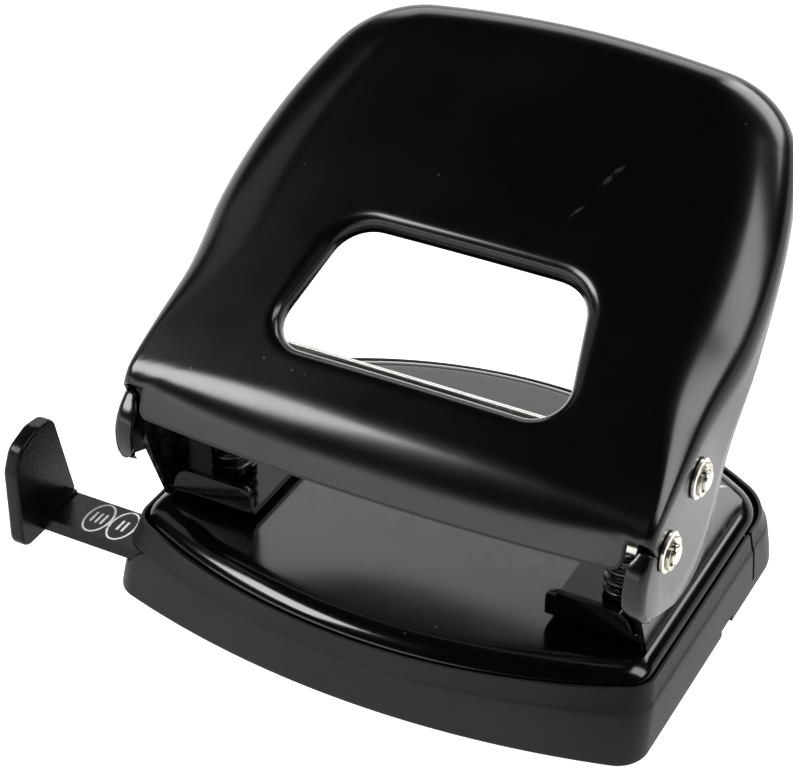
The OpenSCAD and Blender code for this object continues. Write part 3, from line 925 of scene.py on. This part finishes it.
def handle_top(half):
    """The top sheet with its window roll, and the rolled side edges with their side walls."""
    rim = rim_stations(half)
    inner = [p - n * bend_width(p.y, n.x) for p, n in rim]
    loop = inner + [Vector(p) for p in lip_front()]
    centre = (0, (WINDOW_LOW[1] + WINDOW_HIGH[1]) / 2)
    rings = []
    # window roll, from its lower edge up to the top sheet
    rolled = []
    roll_steps = 8
    for k in range(roll_steps + 1):
        a = math.pi / 2 * k / roll_steps
        rolled.append((WINDOW_ROLL * (1 - math.cos(a)), -WINDOW_ROLL * (1 - math.sin(a))))
    for grow, drop in [(0, -WINDOW_ROLL - 0.7)] + rolled:
        outline = window_outline(grow)
        ring = [hit(outline, centre, p) for p in loop]
        rings.append([on_lever(p.x, p.y, top_height(p.x, p.y) + drop) for p in ring])
    start = [hit(window_outline(WINDOW_ROLL), centre, p) for p in loop]
    steps = 34
    for k in range(1, steps + 1):
        t = (k / steps) ** 0.9
        ring = [a.lerp(b, t) for a, b in zip(start, loop)]
        rings.append([on_lever(p.x, p.y, top_height(p.x, p.y)) for p in ring])
    top = loft(rings, caps=(False, False))
    # roll and wall, along the sides and the free end
    strips = []
    level = [top_height(q.x, q.y) for q in inner]
    edge_steps = 16
    for k in range(edge_steps + 1):
        a = math.pi / 2 * k / edge_steps
        row = []
        for (p, n), height in zip(rim, level):
            r = bend_radius(p.y)
            q = p - n * bend_width(p.y, n.x) * (1 - math.sin(a))
            row.append(on_lever(q.x, q.y, height - r * (1 - math.cos(a))))
        strips.append(row)
    for k in range(1, WALL_ROWS + 1):
        row = []
        for (p, _), height in zip(rim, level):
            high = height - bend_radius(p.y)
            low = min(curve_value(WALL_LOW, p.y), high - 0.2)
            row.append(on_lever(p.x, p.y, high + (low - high) * k / WALL_ROWS))
        strips.append(row)
    return top, loft(strips, closed=False, caps=(False, False))


def finger(side):
    """The ear's front part: a wall that rolls round into a narrow inward flange."""
    roll, flange_w = 1.6, 3.9
    top_z, tip_z = 42.2, 27.4
    # the left finger stands a little further forward than the right one
    reach = 1.1 if side < 0 else 0
    outline = [(-18.2, top_z), (-20.2, 39.6), (-21.3, 36.6), (-21.5, 33.4), (-20.9, 30.7), (-19.4, 28.7),
               (-17.2, 27.5)]
    front = spline([(y - reach * smoothstep((top_z - z) / 4), z) for y, z in outline], 5)
    rolls, widths = [], []
    for p in front:
        top = smoothstep((top_z - p.y) / 2.4)
        low = smoothstep((p.y - tip_z) / 5.5)
        rolls.append(roll * (0.4 + 0.6 * smoothstep((p.y - tip_z) / 3.2)))
        widths.append(rolls[-1] + 0.05 + (flange_w - roll) * min(0.45 + 0.55 * top, low))
    inner, inward = [], []
    for i, p in enumerate(front):
        t = (front[min(i + 1, len(front) - 1)] - front[max(i - 1, 0)]).normalized()
        inward.append(Vector((-t.y, t.x)))
        inner.append(p + inward[-1] * rolls[i])
    rows = []
    roll_steps = 6
    for k in range(roll_steps + 1):
        a = math.pi / 2 * k / roll_steps
        rows.append([
            (side * (FRONT_HALF_W - r + r * math.cos(a)), *(g - w * r * math.sin(a)))
            for g, w, r in zip(inner, inward, rolls)
        ])
    for share in (0.5, 1.0):
        rows.append([
            (side * (FRONT_HALF_W - r + (r - wide) * share), p.x, p.y)
            for p, wide, r in zip(front, widths, rolls)
        ])
    flange = loft(rows, closed=False, caps=(False, False))
    # flat wall between the roll, the lower edge and the first column of the side wall
    high = top_height(FRONT_HALF_W - bend_width(FRONT_V, 1), FRONT_V) - bend_radius(FRONT_V)
    low = curve_value(WALL_LOW, FRONT_V)
    column = [on_lever(0, FRONT_V, high + (low - high) * k / WALL_ROWS)[1:] for k in range(WALL_ROWS + 1)]
    last = inner[-1]
    lower = spline([tuple(last), (-13.6, 26.3), tuple(column[-1])], 5)[1:-1]
    outline = [tuple(p) for p in inner] + [tuple(p) for p in lower] + column[::-1]
    wall = ([(side * FRONT_HALF_W, y, z) for y, z in outline], [tuple(range(len(outline)))])
    return joined(flange, wall)


def make_handle():
    """The handle: top sheet, side walls and front fingers, thickened to one pressed shell."""
    top, sides = handle_top(lever_half())
    shape = joined(top, sides, finger(1), finger(-1))
    handle = raw_object("handle_shell", shape)
    up = Vector((0, -math.sin(SLOPE), math.cos(SLOPE)))
    lean = sum(f.normal.dot(up) * f.area for f in handle.data.polygons)
    if lean < 0:
        handle.data.flip_normals()
    shell = handle.modifiers.new("sheet", "SOLIDIFY")
    shell.thickness = SHEET * MM
    shell.offset = -1
    shell.use_even_offset = False
    shell.use_quality_normals = True
    settle(handle)
    soften(handle, 0.28, 2, 62, clamp=False)
    finish_piece(handle, HANDLE_ENAMEL, "lever", ["handle"], sharp=42, weighted=False)


# ---- Paper guide -----------------------------------------------------------


def make_guide():
    """The sliding bar, with a low step by its end plate and a groove underneath."""
    low, high = GUIDE_LOW, GUIDE_HIGH
    half = GUIDE_W / 2
    corners = [(low.x, -half), (high.x, -half), (high.x, half), (low.x, half)]
    outline = rounded(corners, [0.2, 1.4, 1.4, 0.2])
    bar = raw_object("guide_bar", prism([(x, GUIDE_Y + y) for x, y in outline], low.z, high.z, "z"))
    step = block((low.x - 0.2, low.y, high.z - 0.4), (low.x + 1.6, high.y, high.z + 0.55))
    combine(bar, step, "UNION")
    groove_half, groove_depth = 3.2, 0.5
    groove = block((low.x + 24, GUIDE_Y - groove_half, low.z - 1),
                   (high.x - 4, GUIDE_Y + groove_half, low.z + groove_depth))
    combine(bar, groove, "DIFFERENCE")
    soften(bar, 0.3, 3, 40)
    finish_piece(bar, GUIDE_PLASTIC, "guide", ["paper_guide"])


def make_stop():
    """The end plate that stands up at the end of the bar, with its edges rounded."""
    y0, y1, z0, z1 = STOP_LOW.y, STOP_HIGH.y, STOP_LOW.z, STOP_HIGH.z
    outline = rounded(
        [(y0, z0), (y1 - 4, z0), (y1, z0 + 2.6), (-14.5, 27.3), (-19.6, z1), (-24.9, z1 - 1.6), (y0, 22)],
        [2.4, 2, 1.6, 2.6, 4, 3.6, 3.6], 9,
    )
    middle = Vector(((y0 + y1) / 2, (z0 + z1) / 2))
    x0, x1 = STOP_LOW.x, STOP_HIGH.x

    def ring(x, shrink):
        points = []
        for p in outline:
            d = Vector(p) - middle
            points.append((x, *(middle + d * (1 - shrink / d.length))))
        return points

    rings = [ring(x0, 1.5), ring(x0 + 0.12, 0.75), ring(x0 + 0.45, 0.25), ring(x0 + 0.95, 0),
             ring(x1 - 0.6, 0), ring(x1 - 0.2, 0.14), ring(x1, 0.5)]
    stop = raw_object("guide_end_plate", loft(rings))
    finish_piece(stop, GUIDE_PLASTIC, "guide", ["guide_stop"], sharp=50)


# How far the ink reaches into the bar and stands out of it
INK_SUNK, INK_PROUD = 0.02, 0.03


def oval_ring(cx, cy, rx, ry, turn, width, z):
    """A flat printed oval line, as (vertices, faces)."""
    thick = INK_SUNK + INK_PROUD
    steps = 72
    rings = []
    for grow, lift in ((-width / 2, 0), (-width / 2, thick), (width / 2, thick), (width / 2, 0)):
        ring = []
        for k in range(steps):
            a = 2 * math.pi * k / steps
            x, y = (rx + grow) * math.cos(a), (ry + grow) * math.sin(a)
            ring.append((cx + x * math.cos(turn) - y * math.sin(turn),
                         cy + x * math.sin(turn) + y * math.cos(turn), z - INK_SUNK + lift))
        rings.append(ring)
    return loft(rings + [rings[0]], caps=(False, False))


def make_marks():
    """Two printed ovals on the bar, with plain tick bars in them."""
    z = GUIDE_HIGH.z
    turn = math.radians(90)
    tick_pitch, half_w, half_len = 1.1, 0.24, 1.5
    shapes = []
    for cx, ticks in ((-60.2, 3), (-54.9, 2)):
        shapes.append(oval_ring(cx, GUIDE_Y, 4.2, 2.45, turn, 0.42, z))
        for k in range(ticks):
            x = cx + (k - (ticks - 1) / 2) * tick_pitch
            corners = [(x - half_w, GUIDE_Y - half_len), (x + half_w, GUIDE_Y - half_len),
                       (x + half_w, GUIDE_Y + half_len), (x - half_w, GUIDE_Y + half_len)]
            tick = rounded(corners, [0.15] * 4, 3)
            shapes.append(prism(tick, z - INK_SUNK, z + INK_PROUD, "z"))
    marks = raw_object("guide_marks", joined(*shapes))
    finish_piece(marks, INK, "guide", (), weighted=False)


# ---- Carried-over nodes ----------------------------------------------------


def dress(node, material):
    """Gives a CAD node its finished material."""
    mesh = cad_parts[node].data
    mesh.materials.clear()
    mesh.materials.append(material)


# ---- Studio ----------------------------------------------------------------

# Lengths here are in metres. Each soft box: name, direction, distance, width, height and watts
LIGHT_AIM = (0, 0.015, 0.04)
SOFT_BOXES = (
    ("front_box", (-0.66, -0.56, 0.76), 1.0, 0.46, 0.36, 10),
    ("low_box", (-0.42, -0.90, 0.14), 1.2, 1.3, 0.15, 1.7),
    ("back_box", (-0.36, 0.80, 0.50), 1.2, 0.9, 0.5, 3.9),
    ("left_box", (-0.82, 0.04, 0.55), 1.1, 0.26, 0.9, 0.5),
    ("right_box", (0.66, 0.1, 0.75), 1.1, 0.36, 0.8, 7.5),
)


def area_light(name, towards, distance, width, height, watts):
    """A soft box in a direction from the object, facing it."""
    data = bpy.data.lights.new(name, "AREA")
    data.shape = "RECTANGLE"
    data.size = width
    data.size_y = height
    data.energy = watts
    lamp = placed(name, data)
    way = Vector(towards).normalized()
    lamp.location = Vector(LIGHT_AIM) + way * distance
    lamp.rotation_mode = "QUATERNION"
    lamp.rotation_quaternion = way.to_track_quat("Z", "Y")
    return lamp


def make_floor():
    """A pale paper floor, just under the tray."""
    mesh = bpy.data.meshes.new("floor")
    size, gap = 6.0, 0.0002
    corners = [(-size, -size, 0), (size, -size, 0), (size, size, 0), (-size, size, 0)]
    mesh.from_pydata(corners, [], [(0, 1, 2, 3)])
    floor = placed("floor", mesh)
    floor.location = (0, 0, -gap)
    material, _, shader, _ = new_material("floor_paper")
    shader.inputs["Base Color"].default_value = (0.5, 0.5, 0.5, 1)
    shader.inputs["Roughness"].default_value = 0.9
    shader.inputs["Specular IOR Level"].default_value = 0.1
    shader.inputs["Emission Color"].default_value = (1, 1, 1, 1)
    shader.inputs["Emission Strength"].default_value = 0.95
    mesh.materials.append(material)


def make_world():
    """Surroundings that are bright near the horizon and almost black overhead."""
    world = bpy.data.worlds.new("studio")
    bpy.context.scene.world = world
    world.use_nodes = True
    nodes = world.node_tree.nodes
    links = world.node_tree.links
    back = nodes["Background"]
    coords = nodes.new("ShaderNodeTexCoord")
    split = nodes.new("ShaderNodeSeparateXYZ")
    fade = nodes.new("ShaderNodeMapRange")
    fade.interpolation_type = "SMOOTHSTEP"
    links.new(coords.outputs["Generated"], split.inputs[0])
    links.new(split.outputs["Z"], fade.inputs["Value"])
    for socket, number in (("From Min", 0.1), ("From Max", 0.3), ("To Min", 1.2), ("To Max", 0.012)):
        fade.inputs[socket].default_value = number
    links.new(fade.outputs["Result"], back.inputs["Strength"])
    back.inputs["Color"].default_value = (1, 1, 1, 1)


def make_lights():
    """The soft boxes, and a small fill light over the rear that points straight down."""
    for box in SOFT_BOXES:
        area_light(*box)
    fill = area_light("rear_fill", (0.3, 0.72, 0.55), 0.42, 0.25, 0.25, 1.6)
    fill.rotation_quaternion = Vector((0, 0, 1)).to_track_quat("Z", "Y")


def make_camera():
    """The camera, placed by its angles round and above the object and its distance in millimetres."""
    around, above = math.radians(27.84), math.radians(34.72)
    distance = 449.6
    target = Vector((-15.0, 17.8, 32.85))
    level = math.cos(above)
    back = Vector((math.sin(around) * level, -math.cos(around) * level, math.sin(above)))
    data = bpy.data.cameras.new("camera")
    data.sensor_width = 36
    data.lens = 110.0
    data.clip_start = 0.01
    data.clip_end = 50
    camera = placed("camera", data)
    camera.location = (target + back * distance) * MM
    camera.rotation_mode = "QUATERNION"
    camera.rotation_quaternion = (-back).to_track_quat("-Z", "Y")
    bpy.context.scene.camera = camera


make_tray()
make_base()
make_bracket("bracket_left_sheet", -1)
make_bracket("bracket_right_sheet", 1)
make_spring("spring_left_coil", -1, "left_punch")
make_spring("spring_right_coil", 1, "right_punch")
make_rod("pivot_axle_turned", PIVOT, PIVOT_HIGH.x, "chassis", "pivot_axle")
make_rod("drive_rod_turned", ROD, ROD_HIGH.x, "lever", "drive_rod")
make_washers("pivot_washer_pair", PIVOT, "chassis", "pivot_washers")
make_washers("rod_washer_pair", ROD, "lever", "rod_washers")
make_clips("pivot_clip_pair", PIVOT, "chassis", "pivot_clips", 200)
make_clips("rod_clip_pair", ROD, "lever", "rod_clips", 215)
make_handle()
make_guide()
make_stop()
make_marks()

for cad_nodes, metal in (
    (("punch_left", "punch_right", "guide_rail"), PUNCH_STEEL),
    (("spring_washer_left", "spring_washer_right", "hinge_pins"), ZINC),
    (("bracket_rivets", "guide_spring"), CLIP_STEEL),
):
    for cad_node in cad_nodes:
        dress(cad_node, metal)

make_floor()
make_world()
make_lights()
make_camera()
bpy.context.scene.view_settings.view_transform = "Standard"
bpy.context.scene.view_settings.look = "None"
